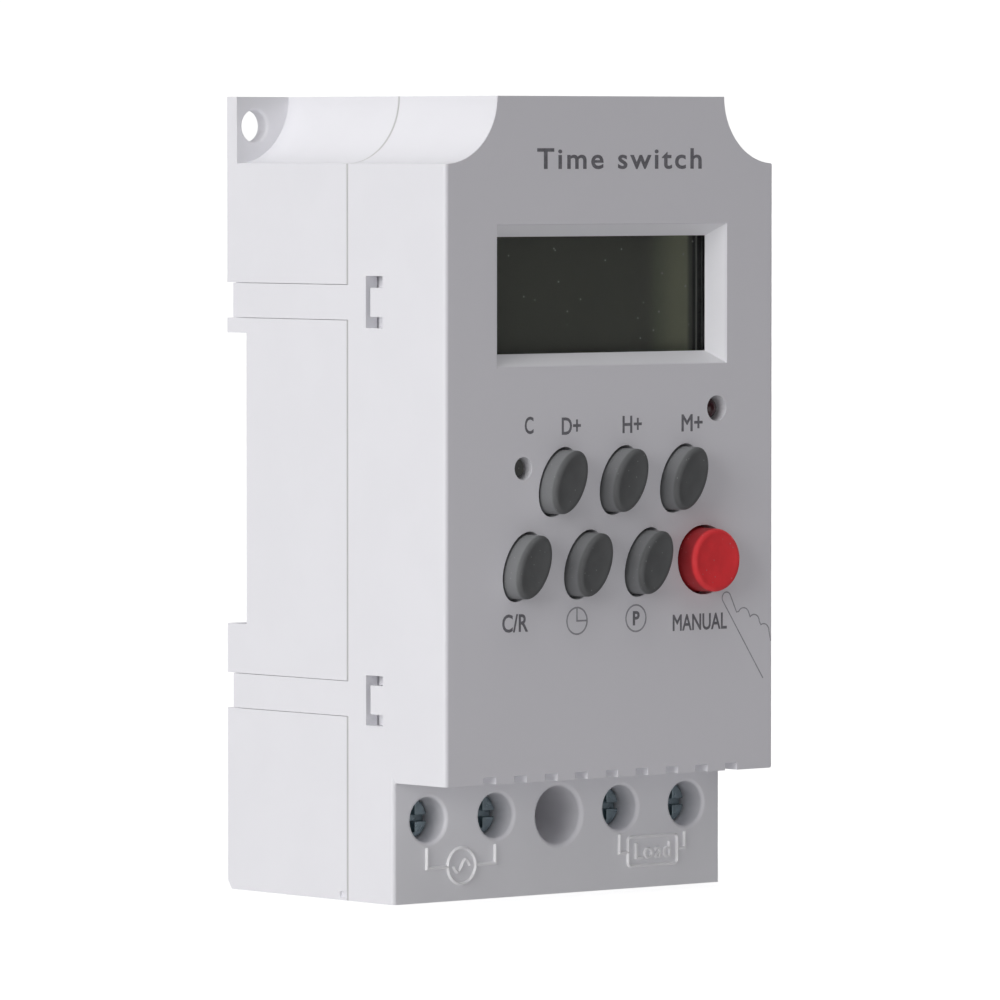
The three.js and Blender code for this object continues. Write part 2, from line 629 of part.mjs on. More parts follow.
// A sealed box on legs, by its sides across the board and its height above it.
function boxedPart({ left, right, low, high, tall }, legs) {
  const standOff = 0.4;
  const parts = [block(left, right, ON_POWER - tall, ON_POWER - standOff, low, high)];
  for (const [x, z] of legs) parts.push(slab(x, z, [0.4, 0.4], ON_POWER - standOff - 0.5, ON_POWER));
  return union(parts);
}

function relay() {
  const box = { left: 1.5, right: 20.5, low: 31.5, high: 47, tall: 15.3 };
  const vent = pin(0.7, 4.5, 34.5, ON_POWER - box.tall - 0.4, ON_POWER - box.tall + 0.5, 12);
  return boxedPart(box, [[4, 33.5], [4, 45], [11, 39], [18, 33.5], [18, 45]]).add(vent);
}

function dropperCapacitor() {
  return boxedPart({ left: -20, right: -2, low: 31.5, high: 39, tall: 12.5 }, [[-18.5, 35.2], [-3.5, 35.2]]);
}

// An aluminium can in a sleeve, with a rolled groove near its foot.
function smoothingCapacitor() {
  const [x, z, radius, length, groove] = [-15, 56, 4, 12, 0.3];
  const top = ON_POWER - length;
  return turned([[0, top + 0.1], [radius - 0.9, top + 0.1], [radius - 0.7, top], [radius - groove, top],
    [radius, top + groove], [radius, ON_POWER - 2.6], [radius - groove, ON_POWER - 2.3],
    [radius - groove, ON_POWER - 1.9], [radius, ON_POWER - 1.6], [radius, ON_POWER], [0, ON_POWER]], x, z, 24);
}

function varistor() {
  const [x, z, y] = [-6, 50, ON_POWER - 7];
  const disc = rod(4.6, [x, y, z - 1.7], [x, y, z + 1.7], 20);
  const leads = [-2.5, 2.5].map((step) => pin(0.4, x + step, z, y, ON_POWER, 8));
  return union([disc, ...leads]);
}

function bridgeRectifier() {
  const body = block(6, 14, ON_POWER - 3.5, ON_POWER - 0.8, 52, 58.4);
  const legs = [];
  for (const x of [7.4, 12.6]) {
    for (const z of [51.6, 58.8]) legs.push(slab(x, z, [0.6, 0.5], ON_POWER - 2.2, ON_POWER));
  }
  return union([body, ...legs]);
}

function fusibleResistor() {
  const [y, z] = [ON_POWER - 3.2, 26];
  const body = rod(1.9, [-5, y, z], [5, y, z], 16);
  const leads = [rod(0.35, [-7.5, y, z], [7.5, y, z], 8)];
  for (const x of [-7.5, 7.5]) leads.push(pin(0.35, x, z, y - 0.35, ON_POWER, 8));
  return union([body, ...leads]);
}

// ---------------------------------------------------------------- finishes

function finish(color, roughness, metalness = 0, opacity = 1) {
  return { color, roughness, metalness, opacity, transparent: opacity < 1 };
}

const WHITE_PLASTIC = finish(0xe6e6e8, 0.45);
const GREY_RUBBER = finish(0x6c7072, 0.6);
const RED_RUBBER = finish(0xb02a34, 0.5);
const ZINC = finish(0x9aa2a6, 0.35, 1);
const TIN = finish(0xb9b6a8, 0.4, 1);
const SPRING_STEEL = finish(0xa0a3a6, 0.3, 1);
const CIRCUIT_BOARD = finish(0x2f6b3f, 0.5);
const BLACK_PLASTIC = finish(0x1c1c1e, 0.5);
const CLEAR = finish(0xe8f0f0, 0.05, 0, 0.35);
const LCD_GLASS = finish(0x3a3a34, 0.15);
const RED_LENS = finish(0x7a1c1c, 0.2);
const BLUE_EPOXY = finish(0x2a4f8f, 0.4);
const YELLOW_CASE = finish(0xd8b23a, 0.5);

const timer = new THREE.Group();

function place(name, body, look, x = 0, z = 0) {
  const { numProp, vertProperties, triVerts } = body.getMesh();
  const geometry = new THREE.BufferGeometry();
  geometry.setAttribute('position', new THREE.BufferAttribute(vertProperties, numProp));
  geometry.setIndex(new THREE.BufferAttribute(triVerts, 1));
  geometry.computeVertexNormals();
  const mesh = new THREE.Mesh(geometry, new THREE.MeshStandardMaterial(look));
  mesh.name = name;
  mesh.position.set(x, 0, z);
  timer.add(mesh);
}

place('rear_housing', rearHousing(), WHITE_PLASTIC);
place('front_housing', frontHousing(), WHITE_PLASTIC);
place('din_clip', dinClip(), WHITE_PLASTIC);
place('din_clip_spring', clipSpring(), SPRING_STEEL);

place('lcd_window', slab(LCD.x, LCD.z, LCD_WINDOW.half, LCD_WINDOW.front, LCD_WINDOW.rear), CLEAR);
place('lcd_panel', slab(LCD.x, LCD.z, LCD_PANEL.half, LCD_PANEL.front, LCD_PANEL.rear), LCD_GLASS);
place('lcd_frame', lcdFrame(), BLACK_PLASTIC);
place('lcd_zebra_strip', zebraStrip(), BLACK_PLASTIC);

for (const key of KEYS) {
  const look = key.name === 'manual_button' ? RED_RUBBER : GREY_RUBBER;
  place(key.name, keyCap(key.hole), look, key.x, key.z);
}
place('keypad_mat', keypadMat(), GREY_RUBBER);
place('reset_button', resetButton(), GREY_RUBBER, RESET.x, RESET.z);
place('led_lamp', ledLamp(), RED_LENS, LED.x, LED.z);

TERMINAL_X.forEach((x, i) => {
  place(`terminal_screw_${i + 1}`, terminalScrew(), ZINC, x, TERMINAL_Z);
  place(`terminal_cage_${i + 1}`, terminalCage(), ZINC, x, TERMINAL_Z);
  place(`terminal_bar_${i + 1}`, terminalBar(), TIN, x, TERMINAL_Z);
});

place('display_board', board(DISPLAY_BOARD, DISPLAY_POSTS), CIRCUIT_BOARD);
DISPLAY_POSTS.forEach(([x, z], i) => {
  const screw = boardScrew(DISPLAY_BOARD.rear + GAP + SCREW.headThick, -1);
  place(`display_board_screw_${i + 1}`, screw, ZINC, x, z);
});
place('controller_chip', controllerChip(), BLACK_PLASTIC);
place('crystal', crystalCan(), TIN);

place('power_board', board(POWER_BOARD, POWER_POSTS), CIRCUIT_BOARD);
POWER_POSTS.forEach(([x, z], i) => {
  place(`power_board_screw_${i + 1}`, boardScrew(POWER_BOARD.front - GAP - SCREW.headThick, 1), ZINC, x, z);
});
place('board_header', boardHeader(), BLACK_PLASTIC);
place('backup_battery', backupBattery(), BLUE_EPOXY);
place('relay', relay(), BLACK_PLASTIC);
place('dropper_capacitor', dropperCapacitor(), YELLOW_CASE);
place('smoothing_capacitor', smoothingCapacitor(), BLUE_EPOXY);
place('varistor', varistor(), BLUE_EPOXY);
place('bridge_rectifier', bridgeRectifier(), BLACK_PLASTIC);
place('fusible_resistor', fusibleResistor(), YELLOW_CASE);

// The middle of the depth, with the caps standing proud of the panel, goes to Y = 0.
timer.position.y = -KEY_FACE / 2;

export default timer;
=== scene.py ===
import json
import math

import bmesh
import bpy
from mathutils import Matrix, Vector


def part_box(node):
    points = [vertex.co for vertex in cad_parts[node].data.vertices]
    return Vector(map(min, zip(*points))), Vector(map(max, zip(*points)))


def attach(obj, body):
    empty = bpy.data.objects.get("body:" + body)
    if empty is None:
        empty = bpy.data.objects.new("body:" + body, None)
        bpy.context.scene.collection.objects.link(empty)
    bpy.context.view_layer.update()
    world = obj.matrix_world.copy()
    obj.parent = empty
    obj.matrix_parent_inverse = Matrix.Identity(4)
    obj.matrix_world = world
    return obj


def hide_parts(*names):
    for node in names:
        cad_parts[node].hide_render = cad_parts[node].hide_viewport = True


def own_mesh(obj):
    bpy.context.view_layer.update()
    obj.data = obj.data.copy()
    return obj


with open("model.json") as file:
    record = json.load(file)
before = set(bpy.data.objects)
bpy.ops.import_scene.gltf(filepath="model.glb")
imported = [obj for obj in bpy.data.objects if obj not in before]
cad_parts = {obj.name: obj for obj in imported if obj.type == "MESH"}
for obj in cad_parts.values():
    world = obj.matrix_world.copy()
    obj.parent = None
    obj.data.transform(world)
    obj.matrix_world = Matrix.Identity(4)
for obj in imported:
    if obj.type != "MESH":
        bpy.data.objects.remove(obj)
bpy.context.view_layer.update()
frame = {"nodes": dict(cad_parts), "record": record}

NODES = frame["nodes"]


def mm(value):
    return value * 0.001


# ---------------------------------------------------------------- places on the housing

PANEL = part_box("front_housing")[0].y
STEP_DEPTH = mm(9.9)
TERMINAL_FACE = PANEL + STEP_DEPTH
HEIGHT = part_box("rear_housing")[1].z
SEAM = mm(-1.12)  # the plane between the two shells
STRAPS = [(mm(22.55), mm(26.8)), (mm(70.82), mm(75.07))]  # heights where the straps cross the seam
OVAL_KEYS = ["day", "hour", "minute", "cancel_recall", "clock", "program"]


def centre(node):
    low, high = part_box(node)
    return (low + high) / 2


# ---------------------------------------------------------------- camera and light

SKY_DIM = 0.04
SKY_BRIGHT = 0.43
TABLE_BOUNCE = 0.44
KEY_POWER = 1.66
TOP_POWER = 0.72
FILL_POWER = 0.8


def make_camera():
    """A long lens, 40.3 degrees round to the left of the front and 2.3 degrees above level."""
    azimuth, elevation = math.radians(40.3), math.radians(2.31)
    forward = Vector((math.sin(azimuth) * math.cos(elevation),
                      math.cos(azimuth) * math.cos(elevation),
                      -math.sin(elevation)))
    right = Vector((math.cos(azimuth), -math.sin(azimuth), 0))
    up = right.cross(forward)
    target = Vector((0, mm(1.3), HEIGHT / 2))
    distance, shift_left, shift_down = mm(1088.2), mm(0.08), mm(0.87)
    data = bpy.data.cameras.new("camera")
    data.lens = 316.3
    data.sensor_width = 36
    data.clip_start = 0.01
    data.clip_end = 200
    camera = bpy.data.objects.new("camera", data)
    camera.location = target - forward * distance - right * shift_left - up * shift_down
    camera.rotation_mode = "QUATERNION"
    camera.rotation_quaternion = forward.to_track_quat("-Z", "Y")
    bpy.context.scene.collection.objects.link(camera)
    bpy.context.scene.camera = camera


def make_world():
    """Soft studio light: bright from above, behind and the left, dim from the front, with some
    light thrown up off the table. The camera itself sees a plain white backdrop."""
    world = bpy.data.worlds.new("studio")
    bpy.context.scene.world = world
    world.use_nodes = True
    tree = world.node_tree
    tree.nodes.clear()
    add = tree.nodes.new
    link = tree.links.new
    direction = add("ShaderNodeTexCoord")

    def glow(towards, start, end, low, high):
        facing = add("ShaderNodeVectorMath")
        facing.operation = "DOT_PRODUCT"
        facing.inputs[1].default_value = Vector(towards).normalized()
        level = add("ShaderNodeMapRange")
        level.interpolation_type = "SMOOTHSTEP"
        for socket, value in (("From Min", start), ("From Max", end), ("To Min", low), ("To Max", high)):
            level.inputs[socket].default_value = value
        link(direction.outputs["Generated"], facing.inputs[0])
        link(facing.outputs["Value"], level.inputs["Value"])
        return level.outputs["Result"]

    total = add("ShaderNodeMath")
    total.operation = "ADD"
    link(glow((-0.45, 0.6, 0.66), -0.3, 0.8, SKY_DIM, SKY_BRIGHT), total.inputs[0])
    link(glow((-0.1, -0.1, -1), 0.0, 0.8, 0, TABLE_BOUNCE), total.inputs[1])
    studio = add("ShaderNodeBackground")
    studio.inputs["Color"].default_value = (0.985, 0.975, 1, 1)
    backdrop = add("ShaderNodeBackground")
    backdrop.inputs["Strength"].default_value = 1.05
    backdrop.inputs["Color"].default_value = (1, 1, 1, 1)
    path = add("ShaderNodeLightPath")
    mix = add("ShaderNodeMixShader")
    out = add("ShaderNodeOutputWorld")
    link(total.outputs["Value"], studio.inputs["Strength"])
    link(path.outputs["Is Camera Ray"], mix.inputs["Fac"])
    link(studio.outputs["Background"], mix.inputs[1])
    link(backdrop.outputs["Background"], mix.inputs[2])
    link(mix.outputs["Shader"], out.inputs["Surface"])


def add_light(name, kind, place, aim, energy, **settings):
    data = bpy.data.lights.new(name, kind)
    data.energy = energy
    for key, value in settings.items():
        setattr(data, key, value)
    light = bpy.data.objects.new(name, data)
    light.location = place
    light.rotation_mode = "QUATERNION"
    light.rotation_quaternion = (Vector(aim) - Vector(place)).to_track_quat("-Z", "Y")
    bpy.context.scene.collection.objects.link(light)


def make_lights():
    """A broad key to the left, a weaker top light, a fill from behind on the right, and a glow off
    the table ahead."""
    middle = Vector((0, 0, HEIGHT / 2))
    add_light("key_light", "SUN", middle + Vector((-1.92, -0.3, 0.44)), middle, KEY_POWER,
              angle=math.radians(40))
    add_light("top_light", "SUN", middle + Vector((-0.1, -0.2, 1.98)), middle, TOP_POWER,
              angle=math.radians(50))
    add_light("fill_light", "SUN", middle + Vector((1.9, 0.55, 0.3)), middle, FILL_POWER,
              angle=math.radians(35))
    add_light("table_glow", "AREA", (-0.03, -0.24, 0.01), (0, 0, mm(25)), 0.12, size=0.22)


def make_floor():
    """A wide pale floor just under the part. It lights nothing itself, so the lower panel stays in
    soft shade."""
    mesh = bpy.data.meshes.new("floor")
    half, sink = 60, mm(0.05)
    mesh.from_pydata([(-half, -half, 0), (half, -half, 0), (half, half, 0), (-half, half, 0)], [],
                     [(0, 1, 2, 3)])
    floor = bpy.data.objects.new("floor", mesh)
    bpy.context.scene.collection.objects.link(floor)
    floor.location.z = -sink
    floor.visible_diffuse = False
    floor.visible_glossy = False
    floor.visible_transmission = False
    material = bpy.data.materials.new("floor_paper")
    material.use_nodes = True
    shader = material.node_tree.nodes["Principled BSDF"]
    shader.inputs["Base Color"].default_value = (0.4, 0.4, 0.405, 1)
    shader.inputs["Roughness"].default_value = 0.95
    shader.inputs["Specular IOR Level"].default_value = 0
    shader.inputs["Emission Color"].default_value = (1, 1, 1, 1)
    shader.inputs["Emission Strength"].default_value = 0.82
    mesh.materials.append(material)


# ---------------------------------------------------------------- materials


class Surface:
    """A Principled material in object space, with mottling, grain, uneven gloss, and lighter edges that are
    partly rubbed and partly painted highlight.
    """

    def __init__(self, name, colour, roughness, metallic=0.0):
        self.material = bpy.data.materials.new(name)
        self.material.use_nodes = True
        self.tree = self.material.node_tree
        self.shader = self.tree.nodes["Principled BSDF"]
        self.coords = self.node("ShaderNodeTexCoord").outputs["Object"]
        self.colour = colour
        self.bump_height = None
        self.shader.inputs["Base Color"].default_value = (*colour, 1)
        self.shader.inputs["Roughness"].default_value = roughness
        self.shader.inputs["Metallic"].default_value = metallic
        self.roughness = roughness

    def node(self, kind, **settings):
        made = self.tree.nodes.new(kind)
        for key, value in settings.items():
            setattr(made, key, value)
        return made

    def link(self, source, target):
        self.tree.links.new(source, target)

    def noise(self, feature, detail=3.0, stretch=(1, 1, 1)):
        """Noise whose features are about the given size in metres."""
        mapping = self.node("ShaderNodeMapping")
        mapping.inputs["Scale"].default_value = [s / feature for s in stretch]
        self.link(self.coords, mapping.inputs["Vector"])
        made = self.node("ShaderNodeTexNoise")
        made.inputs["Scale"].default_value = 1
        made.inputs["Detail"].default_value = detail
        self.link(mapping.outputs["Vector"], made.inputs["Vector"])
        return made.outputs["Fac"]

    def ramp(self, value, low, high, to_low, to_high):
        made = self.node("ShaderNodeMapRange", interpolation_type="SMOOTHSTEP")
        made.inputs["From Min"].default_value = low
        made.inputs["From Max"].default_value = high
        made.inputs["To Min"].default_value = to_low
        made.inputs["To Max"].default_value = to_high
        self.link(value, made.inputs["Value"])
        return made.outputs["Result"]

    def mix(self, factor, first, second):
        """Mixes two colours; either may be a plain colour or a socket."""
        made = self.node("ShaderNodeMix", data_type="RGBA")
        self.link(factor, made.inputs["Factor"])
        for socket, value in ((made.inputs["A"], first), (made.inputs["B"], second)):
            if isinstance(value, tuple):
                socket.default_value = (*value, 1)
            else:
                self.link(value, socket)
        return made.outputs["Result"]

    def maths(self, operation, first, second):
        """A Math node on a socket and a second socket or plain number."""
        made = self.node("ShaderNodeMath", operation=operation)
        self.link(first, made.inputs[0])
        if isinstance(second, float):
            made.inputs[1].default_value = second
        else:
            self.link(second, made.inputs[1])
        return made.outputs["Value"]

    def distance(self, value, place):
        """How far a coordinate is from a plane."""
        gap = self.maths("SUBTRACT", value, place)
        return self.maths("MAXIMUM", gap, self.maths("MULTIPLY", gap, -1.0))

    def specks(self, density, core, edge, strength, colour):
        """Scattered dots of dust; density is cells a metre, core and edge are shares of a cell."""
        cells = self.node("ShaderNodeTexVoronoi", feature="F1")
        cells.inputs["Scale"].default_value = density
        self.link(self.coords, cells.inputs["Vector"])
        dust = self.ramp(cells.outputs["Distance"], core, edge, strength, 0)
        self.base = self.mix(dust, self.base, colour)

    def mottle(self, feature, amount):
        """Slow, faint variation of the base colour."""
        dark = tuple(c * (1 - amount) for c in self.colour)
        light = tuple(min(1, c * (1 + amount)) for c in self.colour)
        field = self.ramp(self.noise(feature), 0.35, 0.65, 0, 1)
        self.base = self.mix(field, dark, light)
        self.link(self.base, self.shader.inputs["Base Color"])
        return self

    def wear_and_painted_highlight(self, amount, tint=(1, 1, 1), radius=mm(0.25)):
        """Lighter edges, partly rubbed and partly painted highlight, found by comparing the true normal
        with a rounded one.
        """
        rounded = self.node("ShaderNodeBevel", samples=4)
        rounded.inputs["Radius"].default_value = radius
        true = self.node("ShaderNodeNewGeometry")
        compare = self.node("ShaderNodeVectorMath", operation="DOT_PRODUCT")
        self.link(rounded.outputs["Normal"], compare.inputs[0])
        self.link(true.outputs["Normal"], compare.inputs[1])
        edge = self.ramp(compare.outputs["Value"], 0.75, 0.99, amount, 0)
        scuff_and_painted_highlight = self.maths("MULTIPLY", edge, self.ramp(self.noise(mm(1.2)), 0.3, 0.7, 0.3, 1))
        self.base = self.mix(scuff_and_painted_highlight, self.base, tint)
        self.link(self.base, self.shader.inputs["Base Color"])
        return self

    def gloss(self, feature, spread, stretch=(1, 1, 1)):
        """Uneven roughness."""
        low = max(0.02, self.roughness - spread)
        field = self.noise(feature, 4.0, stretch)
        self.link(self.ramp(field, 0.3, 0.7, low, self.roughness + spread), self.shader.inputs["Roughness"])
        return self

    def grain(self, feature, depth, detail=2.0, stretch=(1, 1, 1)):
        """Fine relief, stacked on any relief made before it."""
        bump = self.node("ShaderNodeBump")
        bump.inputs["Strength"].default_value = 1
        bump.inputs["Distance"].default_value = depth
        self.link(self.noise(feature, detail, stretch), bump.inputs["Height"])
        if self.bump_height is not None:
            self.link(self.bump_height, bump.inputs["Normal"])
        self.bump_height = bump.outputs["Normal"]
        self.link(self.bump_height, self.shader.inputs["Normal"])
        return self

    def set(self, **sockets):
        for name, value in sockets.items():
            self.shader.inputs[name.replace("_", " ")].default_value = value
        return self


def moulded(name, colour, roughness, mottle=0.006, wear_and_painted_highlight=0.1, grain=mm(0.004), tint=(1, 1, 1)):
    made = Surface(name, colour, roughness)
    made.mottle(mm(9), mottle)
    made.wear_and_painted_highlight(wear_and_painted_highlight, tint)
    made.gloss(mm(3), 0.06)
    made.grain(mm(0.16), grain)
    return made.material


def housing_plastic():
    """White moulded plastic. The panel is a shade darker than the rest, which is painted shade, and the
    seam between the shells has a faint grey line of painted shade that stops at the straps."""
    made = Surface("white_abs", (0.902, 0.9, 0.93), 0.42)
    made.mottle(mm(9), 0.006)
    place = made.node("ShaderNodeSeparateXYZ")
    made.link(made.coords, place.inputs["Vector"])
    # painted shade: the front panel's base colour is made darker, though it is the same plastic as the rest
    panel = made.ramp(place.outputs["Y"], PANEL + mm(0.02), PANEL + mm(0.3), 1, 0)
    made.base = made.mix(panel, made.base, (0.81, 0.8, 0.84))
    # painted shade: a faint grey line along the seam between the shells, where shade falls in the joint,
    # cleared where the straps cross
    seam_painted_shade = made.ramp(made.distance(place.outputs["Y"], SEAM), mm(0.1), mm(0.28), 0.7, 0)
    for low, high in STRAPS:
        half = (high - low) / 2
        clear = made.ramp(made.distance(place.outputs["Z"], (low + high) / 2), half, half + mm(0.05), 0, 1)
        seam_painted_shade = made.maths("MULTIPLY", seam_painted_shade, clear)
    made.base = made.mix(seam_painted_shade, made.base, (0.6, 0.6, 0.585))
    made.wear_and_painted_highlight(0.1)
    made.gloss(mm(3), 0.06)
    made.grain(mm(0.16), mm(0.004))
    return made.material


def rubber(name, colour, edge, side=None):
    """Silicone or rubber; where a side colour is given, it takes over behind the key's rim as painted light
    and shade on the key's sides.
    """
    made = Surface(name, colour, 0.62)
    made.mottle(mm(2.5), 0.05)
    if side:
        depth = made.node("ShaderNodeSeparateXYZ")
        made.link(made.coords, depth.inputs["Vector"])
        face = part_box("day_button")[0].y
        # painted light and shade: the sides behind the rim are recoloured, lighter on the grey keys and
        # darker on the red key
        behind = made.ramp(depth.outputs["Y"], face + mm(0.25), face + mm(0.8), 0, 1)
        made.base = made.mix(behind, made.base, side)
    made.specks(1100, 0.05, 0.11, 0.45, (0.4, 0.4, 0.4))
    made.wear_and_painted_highlight(0.6, edge, mm(0.3))
    made.gloss(mm(1.5), 0.08)
    made.grain(mm(0.09), mm(0.006))
    return made.material


def metal(name, colour, roughness, stretch, tint=(0.8, 0.8, 0.8)):
    made = Surface(name, colour, roughness, 1.0)
    made.mottle(mm(1.6), 0.08)
    made.wear_and_painted_highlight(0.3, tint, mm(0.12))
    made.gloss(mm(0.9), 0.09, stretch)
    made.grain(mm(0.12), mm(0.003), 2.0, stretch)
    return made.material


def clear_plastic():
    made = Surface("clear_acrylic", (0.97, 0.985, 0.98), 0.03)
    made.mottle(mm(14), 0.01)
    made.gloss(mm(6), 0.01)
    made.grain(mm(6), mm(0.0002))
    made.set(Transmission_Weight=1.0, IOR=1.49)
    return made.material


def display_glass():
    """A blank reflective cell: dark, with a faint green-grey band and a black border at the right, a
    painted shadow band just before the border and a thin painted reflection of the bezel's edge within it.
    """
    dark = (0.14, 0.142, 0.122)
    made = Surface("blank_display", dark, 0.24)
    low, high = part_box("lcd_window")
    axis = made.node("ShaderNodeSeparateXYZ")
    made.link(made.coords, axis.inputs["Vector"])
    width = high.x - low.x
    # the shade colour is a painted shadow band before the border, and the light line set within the border
    # is a painted reflection of the bezel's inner edge
    band, shade = (0.29, 0.3, 0.215), (0.11, 0.112, 0.095)
    border, bezel_painted_reflection = (0.03, 0.03, 0.028), (0.22, 0.22, 0.2)
    steps = [(0.72, 0.9, band), (0.92, 0.94, shade), (0.945, 0.955, border), (0.963, 0.967, bezel_painted_reflection),
             (0.97, 0.974, border)]
    made.base = dark
    for start, end, colour in steps:
        beyond = made.ramp(axis.outputs["X"], low.x + start * width, low.x + end * width, 0, 1)
        made.base = made.mix(beyond, made.base, colour)
    made.specks(650, 0.05, 0.09, 0.8, (0.5, 0.5, 0.48))
    made.link(made.base, made.shader.inputs["Base Color"])
    made.gloss(mm(5), 0.01)
    made.grain(mm(0.3), mm(0.0003))
    return made.material


def circuit_board():
    made = Surface("green_board", (0.02, 0.11, 0.045), 0.35)
    made.mottle(mm(4), 0.12)
    tracks = made.node("ShaderNodeTexWave", wave_type="BANDS", bands_direction="X", wave_profile="SAW")
    tracks.inputs["Scale"].default_value = 160
    tracks.inputs["Distortion"].default_value = 1.5
    made.link(made.coords, tracks.inputs["Vector"])
    made.base = made.mix(made.ramp(tracks.outputs["Fac"], 0.7, 0.74, 0, 0.5), made.base, (0.05, 0.24, 0.1))
    made.link(made.base, made.shader.inputs["Base Color"])
    made.gloss(mm(3), 0.08)
    made.grain(mm(0.5), mm(0.01))
    return made.material


def make_materials():
    return {
        "housing_plastic": housing_plastic(),
        "clip_plastic": moulded("white_acetal", (0.82, 0.82, 0.825), 0.36),
        "spring_steel": metal("spring_wire", (0.56, 0.57, 0.59), 0.28, (1, 1, 6)),
        "clear_window": clear_plastic(),
        "lcd_glass": display_glass(),
        "black_plastic": moulded("black_plastic", (0.022, 0.022, 0.024), 0.45, 0.08, 0.12,
                                 tint=(0.2, 0.2, 0.2)),
        "black_rubber": rubber("black_elastomer", (0.03, 0.03, 0.031), (0.08, 0.08, 0.08)),
        # the last colour of each key is painted light on the grey keys' sides and painted shade on the red
        # key's sides
        "grey_silicone": rubber("grey_silicone", (0.1, 0.103, 0.105), (0.22, 0.225, 0.23),
                                (0.21, 0.215, 0.22)),
        "red_silicone": rubber("red_silicone", (0.86, 0.035, 0.045), (0.88, 0.1, 0.11),
                               (0.42, 0.015, 0.022)),
        "red_lens": moulded("tinted_lens", (0.05, 0.014, 0.018), 0.16, 0.05, 0.1, mm(0.001),
                            (0.3, 0.1, 0.1)),
        "zinc_steel": metal("blue_zinc", (0.30, 0.37, 0.40), 0.34, (1, 5, 1)),
        "tinned_brass": metal("tinned_brass", (0.58, 0.56, 0.49), 0.36, (5, 1, 1)),
        "circuit_board": circuit_board(),
        "metal_can": metal("tinned_can", (0.66, 0.66, 0.64), 0.25, (1, 1, 3)),
        "battery_sleeve": moulded("green_sleeve", (0.02, 0.2, 0.08), 0.3, 0.06, 0.1, tint=(0.3, 0.5, 0.35)),
        "film_case": moulded("yellow_case", (0.62, 0.4, 0.06), 0.45, 0.05, 0.15, tint=(0.85, 0.7, 0.4)),
        "capacitor_sleeve": moulded("blue_sleeve", (0.02, 0.03, 0.09), 0.3, 0.06, 0.1,
                                    tint=(0.2, 0.22, 0.35)),
        "blue_epoxy": moulded("blue_epoxy", (0.02, 0.1, 0.4), 0.28, 0.06, 0.1, mm(0.02), (0.3, 0.4, 0.7)),
        "resistor_body": moulded("sand_lacquer", (0.5, 0.4, 0.25), 0.4, 0.06, 0.1, mm(0.01),
                                 (0.75, 0.68, 0.5)),
    }


def printed_ink(name, colour):
    made = Surface(name, colour, 0.55)
    made.mottle(mm(0.5), 0.12)
    made.gloss(mm(0.4), 0.08)
    made.grain(mm(0.1), mm(0.003))
    return made.material


# ---------------------------------------------------------------- softened CAD nodes


def front_corner_field(tree):
    """1 on the upright front corners of the housing, by where the edge's middle is, and 0 elsewhere."""
    add = tree.nodes.new
    link = tree.links.new
    place = add("GeometryNodeInputPosition")
    axes = add("ShaderNodeSeparateXYZ")
    link(place.outputs["Position"], axes.inputs["Vector"])
    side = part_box("front_housing")[1].x
    reach = mm(0.01)

    def near(value, target):
        compare = add("FunctionNodeCompare")
        compare.data_type = "FLOAT"
        compare.operation = "EQUAL"
        compare.inputs["B"].default_value = target
        compare.inputs["Epsilon"].default_value = reach
        link(value, compare.inputs["A"])
        return compare.outputs["Result"]

    def both(kind, first, second):
        join = add("FunctionNodeBooleanMath")
        join.operation = kind
        link(first, join.inputs[0])
        link(second, join.inputs[1])
        return join.outputs["Boolean"]

    magnitude = add("ShaderNodeMath")
    magnitude.operation = "ABSOLUTE"
    link(axes.outputs["X"], magnitude.inputs[0])
    outer = near(magnitude.outputs["Value"], side)
    faces = both("OR", near(axes.outputs["Y"], PANEL), near(axes.outputs["Y"], TERMINAL_FACE))
    return both("AND", outer, faces)


def smoothing_nodes():
    """Joins the facets' shared corners and shades them smooth wherever they meet at under 32 degrees."""
    tree = bpy.data.node_groups.new("join_and_smooth", "GeometryNodeTree")
    tree.interface.new_socket("Geometry", in_out="INPUT", socket_type="NodeSocketGeometry")
    tree.interface.new_socket("Geometry", in_out="OUTPUT", socket_type="NodeSocketGeometry")
    add = tree.nodes.new
    link = tree.links.new
    source = add("NodeGroupInput")
    plain = add("GeometryNodeRemoveAttribute")
    plain.inputs["Name"].default_value = "custom_normal"
    merge = add("GeometryNodeMergeByDistance")
    merge.inputs["Distance"].default_value = mm(0.001)
    faces = add("GeometryNodeSetShadeSmooth")
    edges = add("GeometryNodeSetShadeSmooth")
    edges.domain = "EDGE"
    edges.inputs["Shade Smooth"].default_value = False
    angle = add("GeometryNodeInputMeshEdgeAngle")
    sharp = add("FunctionNodeCompare")
    sharp.data_type = "FLOAT"
    sharp.operation = "GREATER_THAN"
    sharp.inputs["B"].default_value = math.radians(32)
    mark = add("GeometryNodeStoreNamedAttribute")
    mark.data_type = "FLOAT"
    mark.domain = "EDGE"
    mark.inputs["Name"].default_value = "bevel_weight_edge"
    corner = front_corner_field(tree)
    out = add("NodeGroupOutput")
    link(source.outputs["Geometry"], plain.inputs["Geometry"])
    link(plain.outputs["Geometry"], merge.inputs["Geometry"])
    link(merge.outputs["Geometry"], faces.inputs["Geometry"])
    link(faces.outputs["Geometry"], edges.inputs["Geometry"])
    link(angle.outputs["Unsigned Angle"], sharp.inputs["A"])
    link(sharp.outputs["Result"], edges.inputs["Selection"])
    link(edges.outputs["Geometry"], mark.inputs["Geometry"])
    link(corner, mark.inputs["Value"])
    link(mark.outputs["Geometry"], out.inputs["Geometry"])
    return tree


